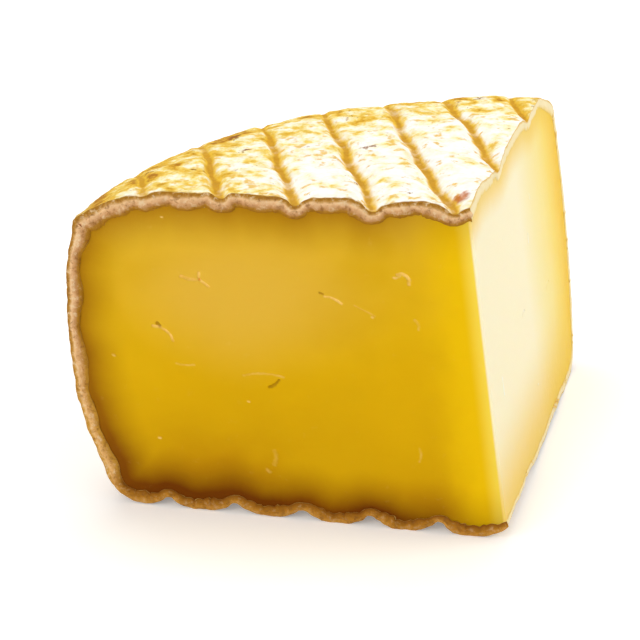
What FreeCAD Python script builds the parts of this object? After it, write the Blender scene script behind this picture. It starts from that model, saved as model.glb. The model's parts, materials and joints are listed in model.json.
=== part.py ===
import FreeCAD, Part

# A quarter of a flat round wheel of hard pressed cheese, lying flat as it was cut.
# The wheel is a turned shape: a flat foot, a side that swells gently, a crisp rim, a rounded shoulder
# and a top that is almost level. Two knife cuts free the quarter: the first is upright and faces -Y,
# so the section turned half way round ends in it, and the second leans and faces +X.
# Slatted shelves have left straight grooves in the two flat faces.
# Lengths are in millimetres, angles in degrees, and +Z is up.

import math
import os

import Sketcher

NODE = "quarter_wheel"

DIMENSIONS = (
    # name, value, what it measures
    ("wheel_radius", 129.4, "from the wheel's middle to the widest part of its side"),
    ("belly_height", 54.6, "height at which the side is widest"),
    ("side_curve", 132.0, "upright radius of the swelling side"),
    ("foot_round", 13.0, "radius where the side turns under to the foot"),
    ("shoulder_round", 44.0, "radius of the shoulder inside the rim"),
    ("crown_height", 92.9, "height of the top in the wheel's middle"),
    ("rim_drop", 11.8, "how far the crisp rim of the side lies below the middle of the top"),
    ("dome_curve", 2100.0, "radius of the almost level top"),
    ("tip_offset", 10.4, "how far from the wheel's middle the two cuts meet, along the first cut"),
    ("cut_angle", 93.1, "angle between the two cuts, seen from above"),
    ("cut_lean", 7.9, "lean of the second cut over the cheese"),
    ("top_groove_pitch", 18.8, "spacing of the grooves in the top"),
    ("top_groove_skew", 20.0, "turn of the top grooves away from square to the first cut"),
    ("top_groove_offset", -25.8, "from the wheel's middle to the second top groove on its left"),
    ("top_groove_reach", 8.0, "half the width of a top groove"),
    ("top_groove_depth", 3.2, "depth of a top groove"),
    ("foot_groove_pitch", 18.5, "spacing of the grooves in the foot"),
    ("foot_groove_offset", -10.4, "from the wheel's middle to the nearest foot groove on its left"),
    ("foot_groove_reach", 6.5, "half the width of a foot groove"),
    ("foot_groove_depth", 2.6, "depth of a foot groove"),
    ("groove_floor", 1.4, "width of the narrow floor of a groove"),
    ("groove_flank", 17.0, "radius of the pillowed flanks of a groove"),
)

# Which point of an edge a constraint takes.
START, END, CENTRE = 1, 2, 3
# A sketch's own level axis, whose start is the sketch's origin, and its upright axis.
LEVEL, UPRIGHT = -1, -2
# A gap in a row that takes the row's own pitch.
EVEN = -1.0


def fill_sheet(doc):
    """Write the driving dimensions into a spreadsheet, one to a row."""
    sheet = doc.addObject("Spreadsheet::Sheet", "sizes")
    for row, (name, value, meaning) in enumerate(DIMENSIONS, start=1):
        sheet.set(f"A{row}", name)
        sheet.set(f"B{row}", str(value))
        sheet.set(f"C{row}", meaning)
        sheet.setAlias(f"B{row}", name)
    doc.recompute()
    return sheet


def point(across, up):
    """A point in a sketch's own plane."""
    return FreeCAD.Vector(across, up, 0)


def new_sketch(body, name, role):
    """A sketch on one of the body's own origin planes."""
    plane = next(feature for feature in body.Origin.OriginFeatures if feature.Role == role)
    sketch = body.newObject("Sketcher::SketchObject", name)
    sketch.AttachmentSupport = [(plane, "")]
    sketch.MapMode = "FlatFace"
    return sketch


def add_line(sketch, start, end):
    """Draw a straight edge and return its number."""
    return sketch.addGeometry(Part.LineSegment(start, end))


def add_arc(sketch, centre, start, end):
    """Draw the arc that runs anticlockwise from start to end about centre, and return its number."""
    to_start, to_end = start - centre, end - centre
    circle = Part.Circle(centre, FreeCAD.Vector(0, 0, 1), to_start.Length)
    first = math.atan2(to_start.y, to_start.x)
    last = math.atan2(to_end.y, to_end.x)
    return sketch.addGeometry(Part.ArcOfCircle(circle, first, last))


def draw_outline(sketch, *corners):
    """A closed outline of straight edges through the corners, each edge joined to the next."""
    edges = [add_line(sketch, a, b) for a, b in zip(corners, corners[1:] + corners[:1])]
    for edge, following in zip(edges, edges[1:] + edges[:1]):
        rule(sketch, "Coincident", edge, END, following, START)
    return edges


def rule(sketch, kind, *where):
    """Add a constraint that carries no value."""
    sketch.addConstraint(Sketcher.Constraint(kind, *where))


def measure(sketch, name, kind, where, value, expression):
    """Add a dimension of a sketch and tie it to the spreadsheet."""
    index = sketch.addConstraint(Sketcher.Constraint(kind, *where, value))
    sketch.renameConstraint(index, name)
    sketch.setExpression(f"Constraints.{name}", expression)


def draw_half_section(sketch, sizes):
    """Half of the wheel's upright section, from its middle out to the side."""
    side_centre = point(sizes.wheel_radius - sizes.side_curve, sizes.belly_height)

    # The foot's round touches the floor and the side, so its centre lies one radius from each.
    fall = sizes.belly_height - sizes.foot_round
    reach = math.sqrt((sizes.side_curve - sizes.foot_round) ** 2 - fall**2)
    foot_centre = side_centre + point(reach, -fall)
    foot_edge = point(foot_centre.x, 0)
    side_foot = side_centre + (foot_centre - side_centre).normalize() * sizes.side_curve

    rise = sizes.crown_height - sizes.rim_drop - sizes.belly_height
    rim = side_centre + point(math.sqrt(sizes.side_curve**2 - rise**2), rise)

    # The shoulder starts at the rim and runs into the top without a crease.
    crown = point(0, sizes.crown_height)
    dome_centre = crown - point(0, sizes.dome_curve)
    to_rim = rim - dome_centre
    inner = sizes.dome_curve - sizes.shoulder_round
    along = (inner**2 - sizes.shoulder_round**2 + to_rim.Length**2) / (2 * to_rim.Length)
    aside = math.sqrt(inner**2 - along**2)
    unit = to_rim / to_rim.Length
    shoulder_centre = dome_centre + unit * along + point(-unit.y, unit.x) * aside
    dome_edge = dome_centre + (shoulder_centre - dome_centre).normalize() * sizes.dome_curve

    floor = add_line(sketch, point(0, 0), foot_edge)
    foot = add_arc(sketch, foot_centre, foot_edge, side_foot)
    side = add_arc(sketch, side_centre, side_foot, rim)
    shoulder = add_arc(sketch, shoulder_centre, rim, dome_edge)
    dome = add_arc(sketch, dome_centre, dome_edge, crown)
    axis = add_line(sketch, crown, point(0, 0))
    belly = add_line(sketch, side_centre, point(sizes.wheel_radius, sizes.belly_height))
    sketch.toggleConstruction(belly)

    rule(sketch, "Coincident", floor, START, LEVEL, START)
    rule(sketch, "Horizontal", floor)
    rule(sketch, "Tangent", floor, END, foot, START)
    rule(sketch, "Tangent", foot, END, side, START)
    rule(sketch, "Coincident", side, END, shoulder, START)
    rule(sketch, "Tangent", shoulder, END, dome, START)
    rule(sketch, "Coincident", dome, END, axis, START)
    rule(sketch, "Coincident", axis, END, floor, START)
    rule(sketch, "Vertical", axis)
    rule(sketch, "PointOnObject", dome, CENTRE, UPRIGHT)
    rule(sketch, "Coincident", belly, START, side, CENTRE)
    rule(sketch, "Horizontal", belly)
    rule(sketch, "PointOnObject", belly, END, side)

    for name, kind, where in (
        ("wheel_radius", "DistanceX", (LEVEL, START, belly, END)),
        ("belly_height", "DistanceY", (LEVEL, START, belly, END)),
        ("crown_height", "DistanceY", (LEVEL, START, dome, END)),
        ("rim_drop", "DistanceY", (side, END, dome, END)),
        ("side_curve", "Radius", (side,)),
        ("foot_round", "Radius", (foot,)),
        ("shoulder_round", "Radius", (shoulder,)),
        ("dome_curve", "Radius", (dome,)),
    ):
        measure(sketch, name, kind, where, getattr(sizes, name), f"sizes.{name}")


def turn_half(body, sizes):
    """The half wheel behind the first cut: its section turned half way round, from +X to -X."""
    sketch = new_sketch(body, "half_section", "XZ_Plane")
    draw_half_section(sketch, sizes)
    half = body.newObject("PartDesign::Revolution", "half_wheel")
    half.Profile = sketch
    half.ReferenceAxis = (sketch, ["V_Axis"])
    half.Angle = 180


def cut_through(body, name, sketch):
    """Take away everything in front of and behind a closed sketch."""
    pocket = body.newObject("PartDesign::Pocket", name)
    pocket.Profile = sketch
    pocket.Type = "ThroughAll"
    pocket.SideType = "Symmetric"
    return pocket


def make_leaning_cut(body, sizes):
    """The second cut, which meets the first one in the tip of the quarter."""
    sketch = new_sketch(body, "leaning_cut_outline", "XZ_Plane")
    sketch.AttachmentOffset = FreeCAD.Placement(
        point(-sizes.tip_offset, 0), FreeCAD.Rotation(point(0, 1), 90 - sizes.cut_angle)
    )
    sketch.setExpression("AttachmentOffset.Base.x", "-sizes.tip_offset")
    sketch.setExpression("AttachmentOffset.Rotation.Angle", "90 - sizes.cut_angle")

    span, rise = 2 * sizes.wheel_radius, 2 * sizes.crown_height
    drift = rise * math.tan(math.radians(sizes.cut_lean))
    bottom, right, top, blade = draw_outline(
        sketch, point(drift, -rise), point(span, -rise), point(span, rise), point(-drift, rise)
    )
    rule(sketch, "Horizontal", bottom)
    rule(sketch, "Vertical", right)
    rule(sketch, "Horizontal", top)
    rule(sketch, "Symmetric", blade, START, blade, END, LEVEL, START)
    measure(sketch, "reach", "DistanceX", (LEVEL, START, right, START), span, "2 * sizes.wheel_radius")
    measure(sketch, "height", "DistanceY", (right, START, right, END), 2 * rise, "4 * sizes.crown_height")
    lean = math.radians(sizes.cut_lean)
    measure(sketch, "lean", "Angle", (LEVEL, START, blade, END), math.pi / 2 + lean, "90 + sizes.cut_lean")
    cut_through(body, "leaning_cut", sketch)


def draw_groove(sketch, sizes, kind):
    """The section of a groove: a narrow floor between two pillowed flanks, open upwards.

    kind starts the names of the groove's own sizes. The sketch's level axis is the grooved face, and
    the section runs on above it, into the air.
    """
    offset = getattr(sizes, f"{kind}_groove_offset")
    reach = getattr(sizes, f"{kind}_groove_reach")
    depth = getattr(sizes, f"{kind}_groove_depth")
    half_floor = sizes.groove_floor / 2
    middle = point(offset, 0)
    floor_left, floor_right = middle + point(-half_floor, -depth), middle + point(half_floor, -depth)
    mouth_left, mouth_right = middle + point(-reach, 0), middle + point(reach, 0)
    air_left, air_right = mouth_left + point(0, depth), mouth_right + point(0, depth)

    # The flanks swell out of the cheese, so their centres lie under it.
    run = reach - half_floor
    chord = math.hypot(run, depth)
    sink = math.sqrt(sizes.groove_flank**2 - chord**2 / 4) / chord
    left_centre = (mouth_left + floor_left) / 2 + point(-depth, -run) * sink
    right_centre = (mouth_right + floor_right) / 2 + point(depth, -run) * sink

    floor = add_line(sketch, floor_left, floor_right)
    right = add_arc(sketch, right_centre, mouth_right, floor_right)
    right_lip = add_line(sketch, mouth_right, air_right)
    lid = add_line(sketch, air_right, air_left)
    left_lip = add_line(sketch, air_left, mouth_left)
    left = add_arc(sketch, left_centre, floor_left, mouth_left)
    spine = add_line(sketch, middle, middle - point(0, depth))
    sketch.toggleConstruction(spine)

    rule(sketch, "Coincident", floor, END, right, END)
    rule(sketch, "Coincident", right, START, right_lip, START)
    rule(sketch, "Coincident", right_lip, END, lid, START)
    rule(sketch, "Coincident", lid, END, left_lip, START)
    rule(sketch, "Coincident", left_lip, END, left, END)
    rule(sketch, "Coincident", left, START, floor, START)
    rule(sketch, "PointOnObject", spine, START, LEVEL)
    rule(sketch, "PointOnObject", left_lip, END, LEVEL)
    rule(sketch, "Vertical", spine)
    rule(sketch, "Vertical", left_lip)
    rule(sketch, "Vertical", right_lip)
    rule(sketch, "Horizontal", lid)
    rule(sketch, "Symmetric", floor, START, floor, END, spine, END)
    rule(sketch, "Symmetric", left_lip, END, right_lip, START, spine, START)
    rule(sketch, "Horizontal", floor)

    own = f"sizes.{kind}_groove_"
    top, bottom = (spine, START), (spine, END)
    for name, where, value, expression in (
        ("offset", (LEVEL, START, *top), offset, own + "offset"),
        ("reach", (*top, right_lip, START), reach, own + "reach"),
        ("floor", (floor, START, floor, END), 2 * half_floor, "sizes.groove_floor"),
    ):
        measure(sketch, name, "DistanceX", where, value, expression)
    measure(sketch, "depth", "DistanceY", (*bottom, *top), depth, own + "depth")
    measure(sketch, "air", "DistanceY", (right_lip, START, right_lip, END), depth, own + "depth")
    for name, flank in (("left_flank", left), ("right_flank", right)):
        measure(sketch, name, "Radius", (flank,), sizes.groove_flank, "sizes.groove_flank")


def repeat_groove(body, sizes, kind, sketch, face_radius):
    """Cut one groove across the cheese and repeat it both ways along the sketch's level axis.

    face_radius is an expression: how far out from the wheel's middle the face is grooved.
    """
    draw_groove(sketch, sizes, kind)
    groove = cut_through(body, f"{kind}_groove", sketch)
    pitch = f"sizes.{kind}_groove_pitch"
    count = f"(floor(({face_radius} + sizes.{kind}_groove_offset) / {pitch}) + 1)"
    row = body.newObject("PartDesign::LinearPattern", f"{kind}_grooves")
    row.Originals = [groove]
    row.Direction = (sketch, ["H_Axis"])
    row.Reversed = True
    row.Mode = "Spacing"
    row.Spacings = [EVEN]
    row.setExpression("Offset", pitch)
    row.setExpression("Occurrences", count)

    # The row to the left, the first groove among it, is itself repeated once, to the right.
    row.Direction2 = (sketch, ["H_Axis"])
    row.Mode2 = "Spacing"
    row.Occurrences2 = 2
    row.Spacings2 = [EVEN]
    row.setExpression("Offset2", f"{pitch} * {count}")
    body.Tip = row
    body.Document.recompute()


def groove_top(body, sizes):
    """The slats' marks in the top, turned away from square to the first cut."""
    sketch = new_sketch(body, "top_groove_section", "XZ_Plane")
    sketch.AttachmentOffset = FreeCAD.Placement(
        point(0, sizes.crown_height), FreeCAD.Rotation(point(0, 1), sizes.top_groove_skew)
    )
    sketch.setExpression("AttachmentOffset.Base.y", "sizes.crown_height")
    sketch.setExpression("AttachmentOffset.Rotation.Angle", "sizes.top_groove_skew")
    repeat_groove(body, sizes, "top", sketch, "(sizes.wheel_radius - sizes.shoulder_round / 2)")


def groove_foot(body, sizes):
    """The slats' marks in the foot, square to the first cut. The sketch hangs upside down."""
    sketch = new_sketch(body, "foot_groove_section", "XZ_Plane")
    sketch.AttachmentOffset = FreeCAD.Placement(point(0, 0), FreeCAD.Rotation(point(1, 0), 180))
    repeat_groove(body, sizes, "foot", sketch, "(sizes.wheel_radius - sizes.foot_round)")


def check(doc, body):
    """Stop if a feature failed, a cut took nothing away, or the quarter is not one sound solid."""
    for item in doc.Objects:
        if {"Invalid", "Error"} & set(item.State):
            raise RuntimeError(f"{item.Name} failed: {item.State}")
    sketches = [item for item in doc.Objects if item.TypeId == "Sketcher::SketchObject"]
    for sketch in sketches:
        if not sketch.FullyConstrained:
            raise RuntimeError(f"{sketch.Name} is not fully constrained")
    solids = [item for item in body.Group if item not in sketches]
    for before, after in zip(solids, solids[1:]):
        if not after.Shape.Volume < before.Shape.Volume:
            raise RuntimeError(f"{after.Name} cuts nothing")
    if body.Shape.isNull() or not body.Shape.isValid() or len(body.Shape.Solids) != 1:
        raise RuntimeError(f"{body.Label} is not one sound solid")


def build():
    """Make the document and return it with the quarter's body, standing on its own middle."""
    doc = FreeCAD.newDocument("cheese")
    sizes = fill_sheet(doc)
    body = doc.addObject("PartDesign::Body", NODE)
    body.Label = NODE
    turn_half(body, sizes)
    make_leaning_cut(body, sizes)
    groove_top(body, sizes)
    groove_foot(body, sizes)
    doc.recompute()

    # The origin is the middle of the footprint, on the floor.
    box = body.Shape.optimalBoundingBox(False)
    body.Placement = FreeCAD.Placement(
        FreeCAD.Vector(-box.Center.x, -box.Center.y, -box.ZMin), FreeCAD.Rotation()
    )
    doc.recompute()
    check(doc, body)
    return doc, body


def main():
    doc, body = build()
    os.makedirs("parts", exist_ok=True)
    body.Shape.exportStep(f"parts/{body.Label}.step")
    box = body.Shape.optimalBoundingBox(False)
    print(f"{body.Label}: {box.XLength:.2f} x {box.YLength:.2f} x {box.ZLength:.2f} mm")
    print(f"volume {body.Shape.Volume / 1000:.1f} cm3, {len(body.Shape.Faces)} faces")


main()
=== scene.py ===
import json
import math

import bpy
import numpy as np
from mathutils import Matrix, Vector
from mathutils.kdtree import KDTree

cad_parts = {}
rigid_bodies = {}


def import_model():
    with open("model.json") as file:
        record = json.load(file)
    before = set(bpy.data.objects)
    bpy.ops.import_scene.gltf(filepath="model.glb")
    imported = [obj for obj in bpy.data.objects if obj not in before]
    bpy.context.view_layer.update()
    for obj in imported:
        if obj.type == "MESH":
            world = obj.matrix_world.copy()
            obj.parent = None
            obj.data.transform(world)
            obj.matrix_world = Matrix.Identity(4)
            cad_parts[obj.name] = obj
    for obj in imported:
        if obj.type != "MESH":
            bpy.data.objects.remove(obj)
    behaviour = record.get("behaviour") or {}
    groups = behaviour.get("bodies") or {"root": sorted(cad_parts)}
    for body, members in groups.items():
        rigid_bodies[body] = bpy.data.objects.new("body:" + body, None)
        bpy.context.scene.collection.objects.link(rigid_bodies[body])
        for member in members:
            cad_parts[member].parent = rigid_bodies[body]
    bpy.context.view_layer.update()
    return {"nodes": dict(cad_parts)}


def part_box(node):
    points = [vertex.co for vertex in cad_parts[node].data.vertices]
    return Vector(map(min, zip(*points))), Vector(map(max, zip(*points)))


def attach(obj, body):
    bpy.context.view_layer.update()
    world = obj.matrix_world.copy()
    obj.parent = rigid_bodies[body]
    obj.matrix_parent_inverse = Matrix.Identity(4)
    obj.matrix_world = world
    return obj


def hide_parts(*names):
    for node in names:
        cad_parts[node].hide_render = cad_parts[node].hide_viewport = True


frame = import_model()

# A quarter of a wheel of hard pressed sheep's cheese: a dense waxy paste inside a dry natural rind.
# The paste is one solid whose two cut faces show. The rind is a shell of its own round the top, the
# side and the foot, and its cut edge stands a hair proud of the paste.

MM = 0.001
NODE = "quarter_wheel"
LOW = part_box(NODE)[0]

# The wheel, as it was before it was cut. Its middle lies outside the quarter.
WHEEL_RADIUS = 129.4 * MM
BELLY_HEIGHT = 54.6 * MM
SIDE_CURVE = 132.0 * MM
CROWN_HEIGHT = 92.9 * MM
RIM_HEIGHT = 81.1 * MM
TIP_OFFSET = 10.4 * MM
CUT_ANGLE = math.radians(93.1)
CUT_LEAN = math.radians(7.9)
AXIS = Vector((LOW[0] + WHEEL_RADIUS, LOW[1], 0))

# The two cuts: a point on each, and the way that each face looks.
TIP = AXIS - Vector((TIP_OFFSET, 0, 0))
FIRST_CUT = Vector((0, -1, 0))
SECOND_CUT = Vector(
    (
        math.sin(CUT_ANGLE) * math.cos(CUT_LEAN),
        math.cos(CUT_ANGLE) * math.cos(CUT_LEAN),
        math.sin(CUT_LEAN),
    )
)

# Straight marks that slatted shelves left: the way they are counted, the first, the pitch, and the
# half width and depth of each.
TOP_SLATS = dict(turn=math.radians(20), first=-7.0, pitch=18.8, reach=8.0, depth=3.2)
FOOT_SLATS = dict(turn=0.0, first=-10.4, pitch=18.5, reach=6.5, depth=2.6)
SLAT_FLOOR = 0.7
SLAT_FLANK = 17.0

# How thick the rind is under the top, in the side and over the foot.
TOP_RIND = 4.3 * MM
SIDE_RIND = 3.8 * MM
FOOT_RIND = 3.5 * MM
THICKEST = 6.2 * MM
# How far a slat mark presses the rind thinner, for each millimetre that it sinks.
PRESSED = 0.5
# The paste runs this far on under the rind, so that no gap shows between them.
TUCK = 1.0 * MM


# ---------------------------------------------------------------- meshes


def put_away():
    bpy.ops.object.select_all(action="DESELECT")


def take_up(piece):
    """The piece alone is selected and active."""
    put_away()
    piece.select_set(True)
    bpy.context.view_layer.objects.active = piece


def copy_of_node(name):
    """A new piece with the CAD node's shape, its loose triangles joined up."""
    piece = bpy.data.objects.new(name, frame["nodes"][NODE].data.copy())
    piece.data.materials.clear()
    bpy.context.scene.collection.objects.link(piece)
    edit(piece, "vertices", np.ones(len(piece.data.vertices), bool))
    bpy.ops.mesh.remove_doubles(threshold=0.01 * MM)
    leave()
    return piece


def edit(piece, part, chosen):
    """Open the piece's mesh with only the chosen vertices, edges or polygons selected."""
    take_up(piece)
    for name in ("vertices", "edges", "polygons"):
        items = getattr(piece.data, name)
        items.foreach_set("select", chosen if name == part else np.zeros(len(items), bool))
    order = ("vertices", "edges", "polygons")
    bpy.context.tool_settings.mesh_select_mode = tuple(name == part for name in order)
    bpy.ops.object.mode_set(mode="EDIT")


def leave():
    bpy.ops.object.mode_set(mode="OBJECT")


def read(items, field, width=3):
    """One field of all of a mesh's vertices or polygons, a row to each."""
    values = np.empty(len(items) * width, np.float32)
    items.foreach_get(field, values)
    return values.reshape(-1, width) if width > 1 else values


def add_modifier(piece, kind, **settings):
    """Add a modifier with its settings and apply it."""
    take_up(piece)
    modifier = piece.modifiers.new(kind.lower(), kind)
    for name, value in settings.items():
        setattr(modifier, name, value)
    bpy.ops.object.modifier_apply(modifier=modifier.name)


def lumps(name, size, depth=2, basis="IMPROVED_PERLIN"):
    """A cloudy texture for a Displace modifier, with lumps of a real size."""
    texture = bpy.data.textures.new(name, "CLOUDS")
    texture.noise_scale = size
    texture.noise_depth = depth
    texture.noise_basis = basis
    return texture


def swell(piece, name, size, height, group="", level=0.5, depth=2, way="NORMAL"):
    """Raise and lower the surface by up to half the height, in lumps of about the given size."""
    add_modifier(
        piece,
        "DISPLACE",
        texture=lumps(name, size, depth),
        texture_coords="LOCAL",
        strength=height,
        mid_level=level,
        direction=way,
        vertex_group=group,
    )


def store(piece, name, values):
    """Keep a number or a direction for each vertex, which materials read as an attribute."""
    values = np.asarray(values, np.float32)
    kind, field = ("FLOAT", "value") if values.ndim == 1 else ("FLOAT_VECTOR", "vector")
    attribute = piece.data.attributes.get(name) or piece.data.attributes.new(name, kind, "POINT")
    attribute.data.foreach_set(field, values.ravel())


def group(piece, name, weights):
    """Keep a weight for each vertex, which modifiers read as a vertex group."""
    made = piece.vertex_groups.new(name=name)
    levels = np.round(np.clip(weights, 0, 1) * 50).astype(int)
    for level in np.unique(levels):
        if level:
            made.add(np.flatnonzero(levels == level).tolist(), level / 50, "REPLACE")


def ramp(values, start, end):
    """0 up to start and 1 from end on, with a soft step between."""
    share = np.clip((values - start) / (end - start), 0, 1)
    return share * share * (3 - 2 * share)


def past_slats(places, slats):
    """How many pitches on from the first slat mark each place lies."""
    way = np.array((math.cos(slats["turn"]), math.sin(slats["turn"]), 0))
    return ((places - np.array(AXIS)) @ way / MM - slats["first"]) / slats["pitch"]


def from_slat(places, slats):
    """How far each place lies from the middle of the nearest slat mark, in millimetres."""
    return np.abs((past_slats(places, slats) + 0.5) % 1 - 0.5) * slats["pitch"]


def slat_depth(places, slats):
    """How far a slat mark sinks each place, in millimetres."""
    run, depth = slats["reach"] - SLAT_FLOOR, slats["depth"]
    chord = math.hypot(run, depth)
    sink = math.sqrt(SLAT_FLANK**2 - chord**2 / 4) / chord
    middle = (slats["reach"] + SLAT_FLOOR) / 2 + depth * sink
    low = -depth / 2 - run * sink
    away = np.clip(from_slat(places, slats), SLAT_FLOOR, slats["reach"])
    return -(low + np.sqrt(SLAT_FLANK**2 - (away - middle) ** 2))


def outside(places, point, normal):
    """How far each place lies in front of a plane."""
    return (places - np.array(point)) @ np.array(normal)


def section():
    """The wheel's upright section as rows of (radius, height), from its foot up and in to its crown."""
    foot_round = 13.0 * MM
    shoulder = 44.0 * MM
    dome = 2100.0 * MM
    middle = WHEEL_RADIUS - SIDE_CURVE
    fall = BELLY_HEIGHT - foot_round
    foot = middle + math.sqrt((SIDE_CURVE - foot_round) ** 2 - fall**2)
    turn = math.atan2(fall, foot - middle)
    angles = np.linspace(-math.pi / 2, -turn, 16)
    rows = [np.stack((foot + foot_round * np.cos(angles), foot_round * (1 + np.sin(angles))), 1)]
    heights = np.linspace(BELLY_HEIGHT - SIDE_CURVE * math.sin(turn), RIM_HEIGHT, 60)[1:]
    side = middle + np.sqrt(SIDE_CURVE**2 - (heights - BELLY_HEIGHT) ** 2)
    rows.append(np.stack((side, heights), 1))

    # The shoulder runs from the rim into the dome without a crease.
    rim = rows[-1][-1] - np.array((0, CROWN_HEIGHT - dome))
    far = np.linalg.norm(rim)
    along = ((dome - shoulder) ** 2 - shoulder**2 + far**2) / (2 * far)
    aside = math.sqrt((dome - shoulder) ** 2 - along**2)
    centre = rim / far * along + np.array((-rim[1], rim[0])) / far * aside
    start = math.atan2(rim[1] - centre[1], rim[0] - centre[0])
    angles = np.linspace(start, math.atan2(centre[1], centre[0]), 20)[1:]
    rows.append(centre + shoulder * np.stack((np.cos(angles), np.sin(angles)), 1))
    edge = rows[-1][-1][0]
    radii = np.linspace(edge, 0, 60)[1:]
    rows.append(np.stack((radii, np.sqrt(dome**2 - radii**2)), 1))
    for row in rows[2:]:
        row[:, 1] += CROWN_HEIGHT - dome
    return np.concatenate(rows)


def under_skin(places):
    """How deep each place lies under the wheel's outer skin, slat marks apart."""
    outline = section()
    spread = np.stack((np.hypot(places[:, 0] - AXIS[0], places[:, 1] - AXIS[1]), places[:, 2]), 1)
    nearest = np.full(len(places), 1.0)
    foot = np.stack((np.linspace(0, outline[0, 0], 40), np.zeros(40)), 1)
    for point in np.concatenate((foot, outline)):
        nearest = np.minimum(nearest, np.hypot(*(spread - point).T))
    return nearest


# ---------------------------------------------------------------- the rind


def carry_on(piece, spare):
    """Push both cut faces outwards, so that the skin can be remade and then cut off clean."""
    mesh = piece.data
    for way, normal in ((Vector((0, -spare, 0)), FIRST_CUT), (Vector((spare, 0, 0)), SECOND_CUT)):
        facing = read(mesh.polygons, "normal") @ np.array(normal) > 0.97
        edit(piece, "polygons", facing)
        bpy.ops.mesh.extrude_region_move(TRANSFORM_OT_translate={"value": way})
        leave()


def cut_twice(piece, fill=False):
    """Cut the piece off at both of the quarter's faces."""
    for normal in (FIRST_CUT, SECOND_CUT):
        edit(piece, "vertices", np.ones(len(piece.data.vertices), bool))
        bpy.ops.mesh.bisect(plane_co=TIP, plane_no=normal, clear_outer=True, use_fill=fill)
        leave()


def make_skin():
    """The quarter's whole outside, uneven as a ripened crust is, and run on past both cuts."""
    piece = copy_of_node("skin")
    mesh = piece.data
    carry_on(piece, 6 * MM)
    add_modifier(piece, "REMESH", mode="VOXEL", voxel_size=0.82 * MM)
    add_modifier(piece, "SMOOTH", factor=0.5, iterations=3)

    # What the skin remembers of where it lies, before it is made uneven.
    places = read(mesh.vertices, "co")
    on_top = ramp(places[:, 2], RIM_HEIGHT - 1.5 * MM, RIM_HEIGHT + 4.5 * MM)
    on_foot = 1 - ramp(places[:, 2], 2.5 * MM, 9 * MM)
    store(piece, "on_top", on_top)
    store(piece, "on_foot", on_foot)
    store(piece, "facing", read(mesh.vertices, "normal"))
    top_share = slat_depth(places, TOP_SLATS) / TOP_SLATS["depth"] * on_top
    foot_share = slat_depth(places, FOOT_SLATS) / FOOT_SLATS["depth"] * on_foot
    store(piece, "slat", top_share + foot_share)
    pitches = np.where(on_foot > 0.5, past_slats(places, FOOT_SLATS), past_slats(places, TOP_SLATS))
    store(piece, "pitches", pitches)
    sunk = np.clip(under_skin(places), 0, 3.2 * MM) * np.maximum(on_top, on_foot)
    wall = SIDE_RIND + (TOP_RIND - SIDE_RIND) * on_top + (FOOT_RIND - SIDE_RIND) * on_foot - sunk * PRESSED
    # It is a millimetre thicker round the rim, uneven all over, and thinner towards the second cut.
    across, back, height = places.T
    wall += 1.0 * MM * np.exp(-(((height - RIM_HEIGHT) / (7 * MM)) ** 2))
    wall *= 1 + 0.16 * np.sin(across / (2.1 * MM)) * np.sin(across / (5.3 * MM) + height / (3.1 * MM))
    by_second = ramp(outside(places, TIP, SECOND_CUT), -9 * MM, -1 * MM)
    wall *= 1 - 0.25 * by_second * ramp(back, LOW[1], LOW[1] + 14 * MM)
    store(piece, "wall", wall)
    group(piece, "thick", wall / THICKEST)
    group(piece, "inside", (wall - TUCK) / THICKEST)
    line = np.where(on_foot > 0.5, from_slat(places, FOOT_SLATS), from_slat(places, TOP_SLATS))
    group(piece, "line", (1 - ramp(line, 0.2, 2.2)) * np.maximum(on_top, on_foot))
    add_modifier(piece, "DISPLACE", strength=-0.6 * MM, mid_level=0, vertex_group="line")
    group(piece, "crease", creases(places) * (1 - on_top))
    add_modifier(piece, "DISPLACE", strength=-0.5 * MM, mid_level=0, vertex_group="crease")

    # Wandering slat marks, a lumpy crust and small pits.
    swell(piece, "wander", 16 * MM, 2.4 * MM, way="RGB_TO_XYZ", depth=1)
    swell(piece, "crust", 9 * MM, 1.2 * MM)
    swell(piece, "grain", 2.6 * MM, 0.7 * MM)
    return piece


# Upright creases in the side, where the cloth lay folded in the mould: how far each lies round the
# side from the first cut, where it starts and ends up the side, and how far it leans. In millimetres.
CREASES = (
    (9, 16, 70, 3), (21, 40, 80, -2), (33, 10, 52, 4), (47, 22, 78, 1), (58, 48, 80, -3),
    (74, 12, 66, 2), (86, 30, 79, 3), (101, 8, 44, -2), (113, 26, 76, 2), (129, 50, 80, 3),
    (141, 14, 62, -3), (156, 24, 78, 1), (170, 12, 50, 4), (183, 38, 79, -2),
)


def creases(places):
    """How deep in a crease of the side each place lies, from 0 to 1."""
    turn = np.arctan2(places[:, 1] - AXIS[1], AXIS[0] - places[:, 0])
    round_side = turn * WHEEL_RADIUS / MM
    height = places[:, 2] / MM
    out = np.hypot(places[:, 0] - AXIS[0], places[:, 1] - AXIS[1]) / MM
    deepest = np.zeros(len(places))
    for along, low, high, lean in CREASES:
        share = (height - low) / (high - low)
        away = np.abs(round_side - along - lean * share + 0.5 * np.sin(height / 5 + along))
        ends = ramp(share, 0, 0.2) * (1 - ramp(share, 0.8, 1))
        np.maximum(deepest, (1 - ramp(away, 0.3, 1.5)) * ends, out=deepest)
    return deepest * (out > 100)


def make_rind(whole, skin, hidden, cut_edge):
    piece = whole.copy()
    piece.data = whole.data.copy()
    piece.name = piece.data.name = "rind"
    bpy.context.scene.collection.objects.link(piece)
    for material in (skin, hidden, cut_edge):
        piece.data.materials.append(material)
    cut_twice(piece)
    add_modifier(
        piece,
        "SOLIDIFY",
        thickness=THICKEST,
        offset=-1,
        vertex_group="thick",
        material_offset=1,
        material_offset_rim=2,
    )
    raise_cut_edge(piece)
    thin_out_hidden(piece)
    return piece


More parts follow.
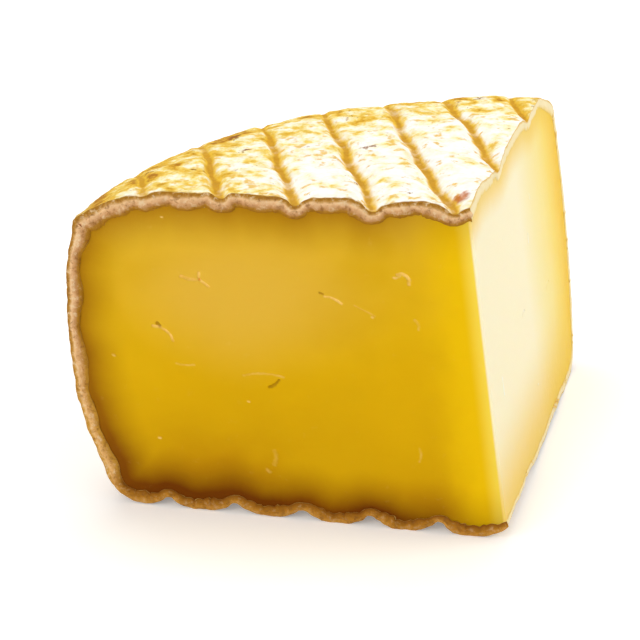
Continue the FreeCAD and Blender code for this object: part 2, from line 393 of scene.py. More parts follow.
def raise_cut_edge(piece):
    """Lay the shell's cut edge in the two cuts, divide it finely, round it and make it crumbly."""
    mesh = piece.data
    kinds = read(mesh.polygons, "material_index", 1).astype(int)
    inner = np.zeros(len(mesh.vertices), bool)
    rim = np.zeros(len(mesh.vertices), bool)
    for face, kind in zip(mesh.polygons, kinds):
        if kind:
            (inner if kind == 1 else rim)[list(face.vertices)] = True
    places = read(mesh.vertices, "co")
    facing = read(mesh.attributes["facing"].data, "vector")
    wall = read(mesh.attributes["wall"].data, "value", 1)
    edges = np.array([tuple(edge.vertices) for edge in mesh.edges])
    across = (inner[edges[:, 0]] != inner[edges[:, 1]]) & rim[edges].all(1)
    pairs = edges[across]
    pairs = np.where(inner[pairs[:, :1]], pairs[:, ::-1], pairs)
    outer, deep = pairs.T

    # Each inner vertex goes straight in from its outer one, within whichever cut that one lies in.
    inwards = -facing[outer]
    for _ in range(4):
        for normal in (FIRST_CUT, SECOND_CUT):
            on_cut = np.abs(outside(places[outer], TIP, normal)) < 0.05 * MM
            inwards -= (on_cut * (inwards @ np.array(normal)))[:, None] * np.array(normal)
    inwards /= np.linalg.norm(inwards, axis=1)[:, None]
    places[deep] = places[outer] + inwards * wall[outer][:, None]

    # The rest of the inner wall stays behind both cuts.
    for normal in (FIRST_CUT, SECOND_CUT):
        over = np.clip(outside(places, TIP, normal) + 0.4 * MM, 0, None) * (inner & ~rim)
        places -= over[:, None] * np.array(normal)
    mesh.vertices.foreach_set("co", places.ravel())
    nearer = np.abs(outside(places, TIP, SECOND_CUT)) < np.abs(outside(places, TIP, FIRST_CUT))
    store(piece, "second", rim & nearer)
    store(piece, "depth", inner)
    edit(piece, "edges", across)
    bpy.ops.mesh.subdivide(number_cuts=6)
    leave()

    band = np.zeros(len(mesh.vertices), bool)
    for face in mesh.polygons:
        if face.material_index == 2:
            band[list(face.vertices)] = True
    second = read(mesh.attributes["second"].data, "value", 1)
    depth = read(mesh.attributes["depth"].data, "value", 1)
    group(piece, "cut_edge", band * (0.1 + 0.9 * np.sin(np.pi * depth)) * (1 - 0.7 * second))
    add_modifier(piece, "DISPLACE", strength=0.55 * MM, mid_level=0, vertex_group="cut_edge")
    swell(piece, "crumble", 3.2 * MM, 2.4 * MM, group="cut_edge")
    swell(piece, "crumbs", 1.3 * MM, 2.0 * MM, group="cut_edge")


def thin_out_hidden(piece):
    """The shell's inner wall lies hidden in the paste, so it keeps only a few of its faces."""
    hidden = read(piece.data.polygons, "material_index", 1) == 1
    edit(piece, "polygons", hidden)
    bpy.ops.mesh.select_less()
    bpy.ops.mesh.select_less()
    bpy.ops.mesh.decimate(ratio=0.08)
    leave()


# ---------------------------------------------------------------- the paste

# What the knife opened or dragged in the two faces: the face, the kind, the half width and how deep,
# in millimetres, where it starts, as shares of the face's width out from the upright edge and of its
# height, which way it runs, in degrees (0 is outwards, 90 is up), how long it is, in millimetres, and
# how far it turns on its way, in degrees.
MARKS = (
    # A crack like a star, and one like a hook.
    ("first", "pale", 0.45, 0.35, (0.67, 0.72), 0, 5, 15),
    ("first", "pale", 0.40, 0.30, (0.67, 0.72), 210, 3, 10),
    ("first", "pale", 0.35, 0.30, (0.67, 0.72), 80, 2, 20),
    ("first", "pale", 0.50, 0.30, (0.19, 0.78), 165, 5, 110),
    ("first", "pale", 0.35, 0.25, (0.20, 0.77), 180, 2, -50),
    # A small hole with a crack below it, and a slit under a long scratch.
    ("first", "dark", 0.58, 0.50, (0.78, 0.58), 225, 1, 0),
    ("first", "pale", 0.40, 0.30, (0.79, 0.57), 185, 7, 60),
    ("first", "dark", 0.45, 0.40, (0.52, 0.41), 155, 3.5, -30),
    ("first", "faint", 0.35, 0.15, (0.58, 0.44), 165, 11, 25),
    # A row of grains.
    ("first", "dark", 0.35, 0.30, (0.38, 0.71), 200, 1, 0),
    ("first", "pale", 0.35, 0.20, (0.37, 0.70), 185, 5, 30),
    ("first", "faint", 0.25, 0.15, (0.30, 0.68), 205, 6, 0),
    ("first", "pale", 0.50, -0.20, (0.26, 0.65), 205, 0.3, 0),
    # Single grains.
    ("first", "pale", 0.55, -0.25, (0.89, 0.47), 0, 0.3, 0),
    ("first", "pale", 0.50, -0.20, (0.79, 0.22), 0, 0.3, 0),
    ("first", "pale", 0.50, -0.20, (0.57, 0.36), 0, 0.3, 0),
    ("first", "pale", 0.45, -0.20, (0.75, 0.90), 0, 0.3, 0),
    # Soft smears.
    ("first", "faint", 0.80, -0.15, (0.52, 0.21), 250, 4, 40),
    ("first", "faint", 0.60, -0.15, (0.54, 0.15), 220, 1, 0),
    ("first", "faint", 0.45, -0.10, (0.18, 0.26), 250, 4, 40),
    ("first", "faint", 0.40, 0.15, (0.16, 0.65), 220, 3, 60),
    ("first", "faint", 0.35, 0.10, (0.74, 0.46), 190, 5, -20),
    # The second face has fewer.
    ("second", "pale", 0.50, -0.20, (0.52, 0.66), 260, 2.5, 0),
    ("second", "pale", 0.45, -0.15, (0.58, 0.76), 260, 1.5, 0),
    ("second", "pale", 0.60, -0.20, (0.11, 0.43), 275, 5, 0),
    ("second", "faint", 0.40, 0.30, (0.37, 0.47), 25, 5, -45),
    ("second", "faint", 0.40, 0.25, (0.66, 0.40), 30, 6, -40),
    ("second", "pale", 0.45, -0.20, (0.26, 0.77), 0, 0.3, 0),
    ("second", "pale", 0.45, -0.20, (0.46, 0.20), 0, 0.3, 0),
)


def on_face(face, across, height):
    """The point of a cut face that lies so far from the tip and so high, given in millimetres."""
    if face == "first":
        return TIP + Vector((-across, 0, height)) * MM
    level = Vector((-math.cos(CUT_ANGLE), math.sin(CUT_ANGLE), 0))
    lean = Vector((-math.sin(CUT_ANGLE), -math.cos(CUT_ANGLE), 0)) * math.tan(CUT_LEAN)
    return TIP + level * (across * MM) + (lean + Vector((0, 0, 1))) * (height * MM)


def stroke(face, start, heading, length, turn):
    """The points of a stroke in a face, which curves evenly from where it starts."""
    height = start[1] * CROWN_HEIGHT / MM
    wide = (WHEEL_RADIUS - TIP_OFFSET if face == "first" else WHEEL_RADIUS) / MM
    # The upright edge leans outwards along the first face, and not along the second.
    edge = height * math.tan(CUT_LEAN) if face == "first" else 0
    across = edge + start[0] * (wide - edge)
    points = [on_face(face, across, height)]
    for step in range(4):
        way = math.radians(heading + turn * step / 3)
        across += length / 4 * math.cos(way)
        height += length / 4 * math.sin(way)
        points.append(on_face(face, across, height))
    return points


def from_line(places, points):
    """How far each place lies from the nearest point of a line through the points."""
    nearest = np.full(len(places), 1.0)
    for start, end in zip(points, points[1:]):
        start, run = np.array(start), np.array(end) - np.array(start)
        share = np.clip((places - start) @ run / (run @ run), 0, 1)
        nearest = np.minimum(nearest, np.linalg.norm(places - start - share[:, None] * run, axis=1))
    return nearest


def make_core(skin):
    """The skin drawn in by the thickness of the rind, a little less, so that the paste tucks under it."""
    core = skin.copy()
    core.data = skin.data.copy()
    bpy.context.scene.collection.objects.link(core)
    add_modifier(core, "DISPLACE", strength=-THICKEST, mid_level=0, vertex_group="inside")
    add_modifier(core, "REMESH", mode="VOXEL", voxel_size=1.9 * MM)
    add_modifier(core, "SMOOTH", factor=0.5, iterations=4)
    return core


def from_outside(places, core):
    """How deep each place lies in the core, not counting what runs on past the two cuts."""
    spots = read(core.data.vertices, "co")
    past = np.maximum(outside(spots, TIP, FIRST_CUT), outside(spots, TIP, SECOND_CUT))
    spots = spots[past < MM]
    tree = KDTree(len(spots))
    for number, spot in enumerate(spots.tolist()):
        tree.insert(spot, number)
    tree.balance()
    return np.array([tree.find(place)[2] for place in places.tolist()])


def make_paste(skin, cut_paste):
    core = make_core(skin)
    put_away()
    wide, deep, tall = 160 * MM, 150 * MM, 110 * MM
    bpy.ops.mesh.primitive_cube_add(
        size=1,
        location=(TIP[0] + 20 * MM - wide / 2, TIP[1] + deep / 2, tall / 2 - 5 * MM),
        scale=(wide, deep, tall),
    )
    piece = bpy.context.object
    piece.name = piece.data.name = "paste"
    bpy.ops.object.transform_apply()
    mesh = piece.data
    edit(piece, "vertices", np.ones(len(mesh.vertices), bool))
    bpy.ops.mesh.bisect(plane_co=TIP, plane_no=SECOND_CUT, clear_outer=True, use_fill=True)
    leave()

    # Both cut faces are divided finely, and then the rest is cut away to the core.
    for cuts in (14, 12):
        normals = read(mesh.polygons, "normal")
        cut = (normals @ np.array(FIRST_CUT) > 0.999) | (normals @ np.array(SECOND_CUT) > 0.999)
        edit(piece, "polygons", cut)
        bpy.ops.mesh.subdivide(number_cuts=cuts)
        leave()
    add_modifier(piece, "BOOLEAN", operation="INTERSECT", solver="EXACT", object=core)

    lines = [stroke(face, *path) for face, _, _, _, *path in MARKS]
    centres = read(mesh.polygons, "center")
    near = np.zeros(len(centres), bool)
    for line, (_, _, half, *_) in zip(lines, MARKS):
        near |= from_line(centres, line) < (half + 1.0) * MM
    edit(piece, "polygons", near)
    bpy.ops.mesh.subdivide(number_cuts=2)
    leave()

    places = read(mesh.vertices, "co")
    wobble = np.sin(places @ np.array((2.3, 1.9, 3.1)) / MM) * np.sin(places @ np.array((1.1, 2.7, 1.7)) / MM)
    pale, dark, sink = (np.zeros(len(places)) for _ in range(3))
    for line, (_, kind, half, deep, *_) in zip(lines, MARKS):
        close = 1 - ramp(from_line(places, line) / MM + 0.22 * half * wobble, 0.35 * half, half)
        mask = dark if kind == "dark" else pale
        np.maximum(mask, close * (0.4 if kind == "faint" else 1), out=mask)
        sink += close * deep
    store(piece, "pale", pale)
    store(piece, "dark", dark)
    first = 1 - ramp(np.abs(outside(places, TIP, FIRST_CUT)), 0, 0.3 * MM)
    second = 1 - ramp(np.abs(outside(places, TIP, SECOND_CUT)), 0.1 * MM, 0.8 * MM)
    store(piece, "under", from_outside(places, core) / (20 * MM))
    bpy.data.objects.remove(core)
    normals = first[:, None] * np.array(FIRST_CUT) * (second < 0.5)[:, None]
    normals += (second > 0.5)[:, None] * np.array(SECOND_CUT)
    places -= normals * (np.clip(sink, -0.4, 1.4) * MM)[:, None]
    mesh.vertices.foreach_set("co", places.ravel())
    mesh.materials.append(cut_paste)
    group(piece, "dragged", 1 - 0.6 * second)
    swell(piece, "drag", 22 * MM, 0.24 * MM, group="dragged", level=1)
    swell(piece, "curd", 3 * MM, 0.06 * MM, level=1)
    return piece


# ---------------------------------------------------------------- materials


def tint(code, alpha=1.0):
    """An sRGB colour as the linear one that shaders take."""
    parts = [int(code[i : i + 2], 16) / 255 for i in (1, 3, 5)]
    linear = [part / 12.92 if part <= 0.04045 else ((part + 0.055) / 1.055) ** 2.4 for part in parts]
    return (*linear, alpha)


def add(tree, kind, links=(), stops=(), **settings):
    """Add a node. links gives its inputs, by name or place, a value or another node's output."""
    node = tree.nodes.new(kind)
    for name, value in settings.items():
        setattr(node, name, value)
    for key, value in dict(links).items():
        if isinstance(value, bpy.types.Node):
            value = value.outputs[0]
        if isinstance(value, bpy.types.NodeSocket):
            tree.links.new(value, node.inputs[key])
        else:
            node.inputs[key].default_value = value
    while stops and len(node.color_ramp.elements) < len(stops):
        node.color_ramp.elements.new(0.5)
    for element, (place, code) in zip(node.color_ramp.elements if stops else (), stops):
        element.position = place
        element.color = tint(code)
    return node


def material(name):
    made = bpy.data.materials.new(name)
    made.use_nodes = True
    made.node_tree.nodes.clear()
    return made, made.node_tree


def pressed_paste():
    """Pressed and ripened sheep's milk paste, cut with a knife: waxy, dense and a little translucent.

    The two cut faces are one paste: the first face's deeper yellow is painted shade, and the second
    face's pale cream is painted light. Under the rind the paste is drier and browner.
    """
    made, tree = material("pressed_paste")
    place = add(tree, "ShaderNodeTexCoord").outputs["Object"]
    under = add(tree, "ShaderNodeAttribute", attribute_name="under").outputs["Fac"]
    pale = add(tree, "ShaderNodeAttribute", attribute_name="pale").outputs["Fac"]
    dark = add(tree, "ShaderNodeAttribute", attribute_name="dark").outputs["Fac"]
    clouds = add(tree, "ShaderNodeTexNoise", {"Vector": place, "Scale": 1 / (34 * MM), "Detail": 2.0})
    small = add(tree, "ShaderNodeTexNoise", {"Vector": place, "Scale": 1 / (9 * MM), "Detail": 3.0})
    fine = add(tree, "ShaderNodeTexNoise", {"Vector": place, "Scale": 1 / (2.2 * MM), "Detail": 3.0})

    # How far behind the second cut, and how far in from the wheel's side.
    across = add(tree, "ShaderNodeVectorMath", {0: place, 1: SECOND_CUT}, operation="DOT_PRODUCT")
    behind = add(tree, "ShaderNodeMath", {0: TIP.dot(SECOND_CUT), 1: across.outputs["Value"]},
                 operation="SUBTRACT")
    from_axis = add(tree, "ShaderNodeMapping", {0: place, 1: -AXIS, 3: (1, 1, 0)})
    out = add(tree, "ShaderNodeVectorMath", {0: from_axis}, operation="LENGTH").outputs["Value"]

    # The first face, from its foot up, with soft clouds. Its deep yellow is painted shade: both faces are one
    # paste.
    parts = add(tree, "ShaderNodeSeparateXYZ", {0: place})
    wave = add(tree, "ShaderNodeMath", {0: clouds, 1: 50 * MM, 2: -25 * MM}, operation="MULTIPLY_ADD")
    level = add(tree, "ShaderNodeMath", {0: parts.outputs[2], 1: wave}, operation="ADD")
    level = add(tree, "ShaderNodeMath", {0: level, 1: 1 / 0.1}, operation="MULTIPLY")
    first_face = add(tree, "ShaderNodeValToRGB", {0: level}, stops=FIRST_FACE_PAINTED_SHADE)
    ripe = add(tree, "ShaderNodeTexNoise", {"Vector": place, "Scale": 1 / (21 * MM), "Detail": 2.5})
    ripe = add(tree, "ShaderNodeMapRange", {0: ripe, 1: 0.42, 2: 0.66, 4: 0.6},
               interpolation_type="SMOOTHSTEP")

    # Painted reflection: a soft milky sheen, painted as a paler oval high on the first face.
    wide, tall = 44 * MM, 26 * MM
    painted_sheen = add(tree, "ShaderNodeMapping", {0: place, 1: (-PAINTED_SHEEN_MIDDLE[0] / wide, 0, -PAINTED_SHEEN_MIDDLE[2] / tall),
                                            3: (1 / wide, 0, 1 / tall)})
    painted_sheen = add(tree, "ShaderNodeVectorMath", {0: painted_sheen}, operation="LENGTH").outputs["Value"]
    painted_sheen = add(tree, "ShaderNodeMath", {0: clouds, 1: 0.5, 2: painted_sheen}, operation="MULTIPLY_ADD")
    painted_sheen = add(tree, "ShaderNodeMapRange", {0: painted_sheen, 1: 1.25, 2: 0.4, 4: 0.8},
                interpolation_type="SMOOTHSTEP")

    # Painted light: the thin edge beside the second cut, where light shines through the paste, is painted a
    # brighter yellow, broadly and then brightest at the very edge.
    inwards = add(tree, "ShaderNodeMath", {0: small, 1: 6 * MM, 2: behind}, operation="MULTIPLY_ADD")
    edge = add(tree, "ShaderNodeMapRange", {0: inwards, 1: 21 * MM, 2: 8 * MM},
               interpolation_type="SMOOTHSTEP")
    glow = add(tree, "ShaderNodeMapRange", {0: behind, 1: 5 * MM, 2: 0.8 * MM, 4: 0.85},
               interpolation_type="SMOOTHSTEP")
    for share, code in ((ripe, "#D8A802"), (painted_sheen, "#E4B640"), (edge, "#EFC100"), (glow, "#FBDC50")):
        first_face = add(tree, "ShaderNodeMix", {0: share, 6: first_face, 7: tint(code)},
                         data_type="RGBA").outputs[2]

    # Browner under the rind, most of all low down and far out.
    low = add(tree, "ShaderNodeMapRange", {0: parts.outputs[2], 1: 56 * MM, 2: 16 * MM, 4: 0.12})
    far = add(tree, "ShaderNodeMapRange", {0: out, 1: 24 * MM, 2: 100 * MM})
    spread = add(tree, "ShaderNodeMath", {0: low, 1: far}, operation="MULTIPLY")
    deep = add(tree, "ShaderNodeMath", {0: small, 1: 0.10, 2: under}, operation="MULTIPLY_ADD")
    deep = add(tree, "ShaderNodeMath", {0: deep, 1: spread}, operation="SUBTRACT")
    dried = add(tree, "ShaderNodeMapRange", {0: deep, 1: 0.68, 2: 0.09})
    dried = add(tree, "ShaderNodeMath", {0: dried, 1: 1.5}, operation="POWER")
    younger = add(tree, "ShaderNodeMapRange", {0: behind, 1: 3 * MM, 2: 30 * MM, 3: 0.35, 4: 1.0})
    dried = add(tree, "ShaderNodeMath", {0: dried, 1: younger}, operation="MULTIPLY")
    brown = add(tree, "ShaderNodeValToRGB", {0: level}, stops=UNDER_RIND)
    first_face = add(tree, "ShaderNodeMix", {0: dried, 6: first_face, 7: brown}, data_type="RGBA").outputs[2]

    # The second face is painted paler than the first, as painted light: palest beside the first cut and
    # deeper towards the side, the top and the foot.
    rim = add(tree, "ShaderNodeMapRange", {0: out, 1: WHEEL_RADIUS, 2: WHEEL_RADIUS - 72 * MM})
    rim = add(tree, "ShaderNodeMath", {0: clouds, 1: 0.10, 2: rim}, operation="MULTIPLY_ADD")
    painted_light_second_face = add(tree, "ShaderNodeValToRGB", {0: rim}, stops=SECOND_FACE_PAINTED_LIGHT)
    gold = add(tree, "ShaderNodeMapRange", {0: deep, 1: 0.55, 2: 0.07, 4: 0.75},
               interpolation_type="SMOOTHSTEP")
    near_foot = add(tree, "ShaderNodeMapRange", {0: parts.outputs[2], 1: 34 * MM, 2: 3 * MM, 4: 0.8},
                    interpolation_type="SMOOTHSTEP")
    gold = add(tree, "ShaderNodeMath", {0: gold, 1: near_foot}, operation="MAXIMUM")
    painted_light_second_face = add(tree, "ShaderNodeMix", {0: gold, 6: painted_light_second_face, 7: tint("#F4C630")},
                      data_type="RGBA").outputs[2]
    second = add(tree, "ShaderNodeMapRange", {0: behind, 1: 1.1 * MM, 2: 0.4 * MM},
                 interpolation_type="SMOOTHSTEP")
    colour = add(tree, "ShaderNodeMix", {0: second, 6: first_face, 7: painted_light_second_face},
                 data_type="RGBA").outputs[2]

    # Curd that the knife dragged open dries pale, and the holes are shaded.
    grains = add(tree, "ShaderNodeMapRange", {0: fine, 1: 0.66, 2: 0.78, 4: 0.06})
    torn = add(tree, "ShaderNodeMapRange", {0: fine, 1: 0.36, 2: 0.60, 3: 0.25, 4: 0.80})
    lit = add(tree, "ShaderNodeMath", {0: pale, 1: torn, 2: grains}, operation="MULTIPLY_ADD")
    # On the second face the opened curd is painted whiter, as painted light, like the face itself.
    opened = add(tree, "ShaderNodeMix", {0: second, 6: tint("#FFD67C"), 7: tint("#FFFDF2")},
                 data_type="RGBA").outputs[2]
    colour = add(tree, "ShaderNodeMix", {0: lit, 6: colour, 7: opened}, data_type="RGBA").outputs[2]
    shade = add(tree, "ShaderNodeMath", {0: dark, 1: 0.60}, operation="MULTIPLY")
    colour = add(tree, "ShaderNodeMix", {0: shade, 6: colour, 7: tint("#A07208")},
                 data_type="RGBA").outputs[2]

    # Knife drag: faint level lines, finer than a millimetre, and a grain of curd.
    drawn = add(tree, "ShaderNodeMapping", {0: place, 1: (0, 0, 0),
                                            3: (1 / (90 * MM), 1 / (90 * MM), 1 / (1.6 * MM))})
    drag = add(tree, "ShaderNodeTexNoise", {"Vector": drawn, "Scale": 1.0, "Detail": 2.0})
    rough = add(tree, "ShaderNodeMapRange", {0: small, 3: 0.36, 4: 0.52})
    bump = add(tree, "ShaderNodeBump", {"Height": drag, "Strength": 0.25, "Distance": 0.25 * MM})
    bump = add(tree, "ShaderNodeBump", {"Height": fine, "Strength": 0.3, "Distance": 0.3 * MM,
                                        "Normal": bump})
    shader = add(tree, "ShaderNodeBsdfPrincipled", {
        "Base Color": colour, "Roughness": rough, "Normal": bump, "IOR": 1.45,
        "Subsurface Weight": 0.2, "Subsurface Radius": (1.0, 0.6, 0.2), "Subsurface Scale": 4 * MM,
        "Specular IOR Level": 0.06,
    })
    add(tree, "ShaderNodeOutputMaterial", {"Surface": shader})
    return made


PAINTED_SHEEN_MIDDLE = TIP + Vector((-72.0, 0.0, 63.0)) * MM
# The two faces are one paste: the first face's deep yellows are painted shade, the second face's pale creams
# painted light.
FIRST_FACE_PAINTED_SHADE = (
    (0.06, "#C69000"), (0.20, "#D5A400"), (0.40, "#DEAD00"), (0.55, "#E1B108"), (0.72, "#E0B11C"),
    (0.90, "#DFB32E"),
)
UNDER_RIND = ((0.03, "#743A00"), (0.13, "#844A00"), (0.32, "#965E00"), (0.60, "#A06A04"), (0.88, "#AE7809"))
# By the distance in from the side: 72 mm is 1.
SECOND_FACE_PAINTED_LIGHT = (
    (0.08, "#F3C032"), (0.20, "#F7CC46"), (0.34, "#F9D968"), (0.52, "#FAE38E"), (0.72, "#FBE9A8"),
    (0.98, "#FEF1CA"),
)


def natural_rind():
    """Natural rind, salted and brushed on slatted shelves: dry, dusty and matt.

    White bloom on the top, golden in the slat marks, and golden brown with grey patches on the side.
    """
    made, tree = material("natural_rind")
    place = add(tree, "ShaderNodeTexCoord").outputs["Object"]
    slat = add(tree, "ShaderNodeAttribute", attribute_name="slat").outputs["Fac"]
    on_top = add(tree, "ShaderNodeAttribute", attribute_name="on_top").outputs["Fac"]
    broad = add(tree, "ShaderNodeTexNoise", {"Vector": place, "Scale": 1 / (24 * MM), "Detail": 3.0})
    patch = add(tree, "ShaderNodeTexNoise", {"Vector": place, "Scale": 1 / (6.5 * MM), "Detail": 5.0,
                                             "Roughness": 0.62})
    fine = add(tree, "ShaderNodeTexNoise", {"Vector": place, "Scale": 1 / (1.8 * MM), "Detail": 4.0})

    # How far out on the wheel: the bloom is rubbed off towards the rim, down to golden crust.
    from_axis = add(tree, "ShaderNodeMapping", {0: place, 1: -AXIS, 3: (1, 1, 0)})
    out = add(tree, "ShaderNodeVectorMath", {0: from_axis}, operation="LENGTH").outputs["Value"]
    rubbed = add(tree, "ShaderNodeMapRange", {0: out, 1: 70 * MM, 2: 128 * MM})
    share = add(tree, "ShaderNodeMath", {0: broad, 1: 0.50, 2: rubbed}, operation="MULTIPLY_ADD")
    share = add(tree, "ShaderNodeMath", {0: share, 1: 0.40, 2: -0.377}, operation="MULTIPLY_ADD")
    share = add(tree, "ShaderNodeMath", {0: patch, 1: 1.5, 2: share}, operation="MULTIPLY_ADD")
    bloom = add(tree, "ShaderNodeValToRGB", {0: share}, stops=BLOOM)

    # Golden specks where the bloom is thin, and rust brown spots, most of them far out.
    specks = add(tree, "ShaderNodeTexNoise", {"Vector": place, "Scale": 1 / (3 * MM), "Detail": 3.0})
    speck = add(tree, "ShaderNodeMath", {0: broad, 1: 0.25, 2: specks}, operation="MULTIPLY_ADD")
    speck = add(tree, "ShaderNodeMapRange", {0: speck, 1: 0.70, 2: 0.80, 4: 0.85})
    spots = add(tree, "ShaderNodeTexNoise", {"Vector": place, "Scale": 1 / (8 * MM), "Detail": 6.0,
                                             "Roughness": 0.70})
    spots = add(tree, "ShaderNodeMath", {0: rubbed, 1: 0.075, 2: spots}, operation="MULTIPLY_ADD")
    spot = add(tree, "ShaderNodeMapRange", {0: spots, 1: 0.652, 2: 0.70, 4: 0.95})
    to_rust = add(tree, "ShaderNodeVectorMath", {0: place, 1: RUST_SPOT}, operation="DISTANCE")
    to_rust = add(tree, "ShaderNodeMath", {0: patch, 1: 8 * MM, 2: to_rust.outputs["Value"]},
                  operation="MULTIPLY_ADD")
    rust = add(tree, "ShaderNodeMapRange", {0: to_rust, 1: 7.8 * MM, 2: 6 * MM, 4: 0.9})
    colour = bloom
    for share, code in ((speck, "#E8B83A"), (spot, "#8E5412"), (rust, "#C26A1C")):
        colour = add(tree, "ShaderNodeMix", {0: share, 6: colour, 7: tint(code)},
                     data_type="RGBA").outputs[2]

    # The side and the foot: bare golden crust with brown mottling, darker upright streaks, mauve grey
    # patches and pits.
    bare = add(tree, "ShaderNodeMath", {0: broad, 1: 0.6, 2: patch}, operation="MULTIPLY_ADD")
    bare = add(tree, "ShaderNodeValToRGB", {0: bare}, stops=BARE_CRUST)
    mauve = add(tree, "ShaderNodeTexNoise", {"Vector": place, "Scale": 1 / (19 * MM), "Detail": 6.0,
                                             "Roughness": 0.62})
    grey = add(tree, "ShaderNodeMapRange", {0: mauve, 1: 0.55, 2: 0.63, 4: 0.7})
    cream = add(tree, "ShaderNodeMapRange", {0: mauve, 1: 0.42, 2: 0.35, 4: 0.6})
    upright = add(tree, "ShaderNodeMapping", {0: place, 3: (1 / (4.2 * MM), 1 / (4.2 * MM), 1 / (45 * MM))})
    upright = add(tree, "ShaderNodeTexNoise", {"Vector": upright, "Scale": 1.0, "Detail": 4.0})
    streak = add(tree, "ShaderNodeMapRange", {0: upright, 1: 0.52, 2: 0.68, 4: 0.5})
    pits = add(tree, "ShaderNodeTexVoronoi", {"Vector": place, "Scale": 1 / (3.6 * MM)}).outputs["Distance"]
    pits = add(tree, "ShaderNodeMath", {0: mauve, 1: 1.2, 2: pits}, operation="MULTIPLY_ADD")
    pit = add(tree, "ShaderNodeMapRange", {0: pits, 1: 0.76, 2: 0.62, 4: 0.5})
    for share, code in ((grey, "#9A7050"), (cream, "#E2BE6C"), (streak, "#83540A"), (pit, "#5C3606")):
        bare = add(tree, "ShaderNodeMix", {0: share, 6: bare, 7: tint(code)}, data_type="RGBA").outputs[2]
    either = add(tree, "ShaderNodeMath", {0: patch, 1: 1.0, 2: on_top}, operation="MULTIPLY_ADD")
    flat = add(tree, "ShaderNodeMapRange", {0: either, 1: 0.72, 2: 1.20})
    colour = add(tree, "ShaderNodeMix", {0: flat, 6: bare, 7: colour}, data_type="RGBA").outputs[2]

    # The pale ridge round the top, which the mould's lid left.
    ridge = add(tree, "ShaderNodeMath", {0: patch, 1: 0.9, 2: on_top}, operation="MULTIPLY_ADD")
    ridge = add(tree, "ShaderNodeMath", {0: ridge, 1: 0.78}, operation="SUBTRACT")
    ridge = add(tree, "ShaderNodeMath", {0: ridge}, operation="ABSOLUTE")
    ridge = add(tree, "ShaderNodeMapRange", {0: ridge, 1: 0.24, 2: 0.06, 4: 0.55})
    colour = add(tree, "ShaderNodeMix", {0: ridge, 6: colour, 7: tint("#E9CB82")},
                 data_type="RGBA").outputs[2]

    # Golden slat marks with a brown line in the bottom. From one mark to the next is 1 here.
    uneven = add(tree, "ShaderNodeTexNoise", {"Vector": place, "Scale": 1 / (3.5 * MM), "Detail": 3.0})
    pitches = add(tree, "ShaderNodeAttribute", attribute_name="pitches").outputs["Fac"]
    away = add(tree, "ShaderNodeMath", {0: pitches, 1: 0.5}, operation="PINGPONG")
    away = add(tree, "ShaderNodeMath", {0: uneven, 1: 0.09, 2: away}, operation="MULTIPLY_ADD")
    kept = add(tree, "ShaderNodeMapRange", {0: patch, 1: 0.34, 2: 0.48, 3: 0.55, 4: 1.0})
    in_slat = add(tree, "ShaderNodeMapRange", {0: slat, 1: 0.45, 2: 0.80})
    in_slat = add(tree, "ShaderNodeMath", {0: in_slat, 1: kept}, operation="MULTIPLY")
    gold = add(tree, "ShaderNodeMapRange", {0: away, 1: 0.150, 2: 0.085, 4: 0.95},
               interpolation_type="SMOOTHSTEP")
    gold = add(tree, "ShaderNodeMath", {0: gold, 1: in_slat}, operation="MULTIPLY")
    colour = add(tree, "ShaderNodeMix", {0: gold, 6: colour, 7: tint("#EBBE34")}, data_type="RGBA").outputs[2]
    core = add(tree, "ShaderNodeMapRange", {0: away, 1: 0.094, 2: 0.070, 4: 0.75})
    core = add(tree, "ShaderNodeMath", {0: core, 1: in_slat}, operation="MULTIPLY")
    colour = add(tree, "ShaderNodeMix", {0: core, 6: colour, 7: tint("#C88E16")}, data_type="RGBA").outputs[2]

    # The skin is darker along its very edge at the first cut.
    inside = add(tree, "ShaderNodeSeparateXYZ", {0: place}).outputs[1]
    inside = add(tree, "ShaderNodeMath", {0: fine, 1: 1.6 * MM, 2: inside}, operation="MULTIPLY_ADD")
    lip = add(tree, "ShaderNodeMapRange", {0: inside, 1: TIP.y + 1.7 * MM, 2: TIP.y + 0.9 * MM, 4: 0.6})
    colour = add(tree, "ShaderNodeMix", {0: lip, 6: colour, 7: tint("#BA8A1E")},
                 data_type="RGBA").outputs[2]
    dust = add(tree, "ShaderNodeMapRange", {0: fine, 1: 0.35, 2: 0.65, 3: 0.88, 4: 1.0})
    colour = add(tree, "ShaderNodeMix", {0: 1.0, 6: colour, 7: dust}, data_type="RGBA",
                 blend_type="MULTIPLY").outputs[2]

    grit = add(tree, "ShaderNodeTexNoise", {"Vector": place, "Scale": 1 / (0.9 * MM), "Detail": 3.0})
    sunk = add(tree, "ShaderNodeMath", {0: pit, 1: -0.8, 2: patch}, operation="MULTIPLY_ADD")
    bump = add(tree, "ShaderNodeBump", {"Height": sunk, "Strength": 0.5, "Distance": 0.8 * MM})
    bump = add(tree, "ShaderNodeBump", {"Height": grit, "Strength": 0.6, "Distance": 0.35 * MM,
                                        "Normal": bump})
    shader = add(tree, "ShaderNodeBsdfPrincipled", {
        "Base Color": colour, "Roughness": 0.85, "Normal": bump, "IOR": 1.4, "Specular IOR Level": 0.3,
    })
    add(tree, "ShaderNodeOutputMaterial", {"Surface": shader})
    return made


RUST_SPOT = TIP + Vector((-17.5, 7.0, 92.6)) * MM
BLOOM = (
    (0.36, "#FFFDF6"), (0.52, "#FEF8E4"), (0.64, "#FBEDB6"), (0.74, "#F2D266"), (0.86, "#E0AC2A"),
    (0.98, "#B4780E"),
)
BARE_CRUST = ((0.55, "#7A4A06"), (0.68, "#9C680C"), (0.80, "#BC8812"), (0.92, "#D0A026"), (1.0, "#DCB450"))


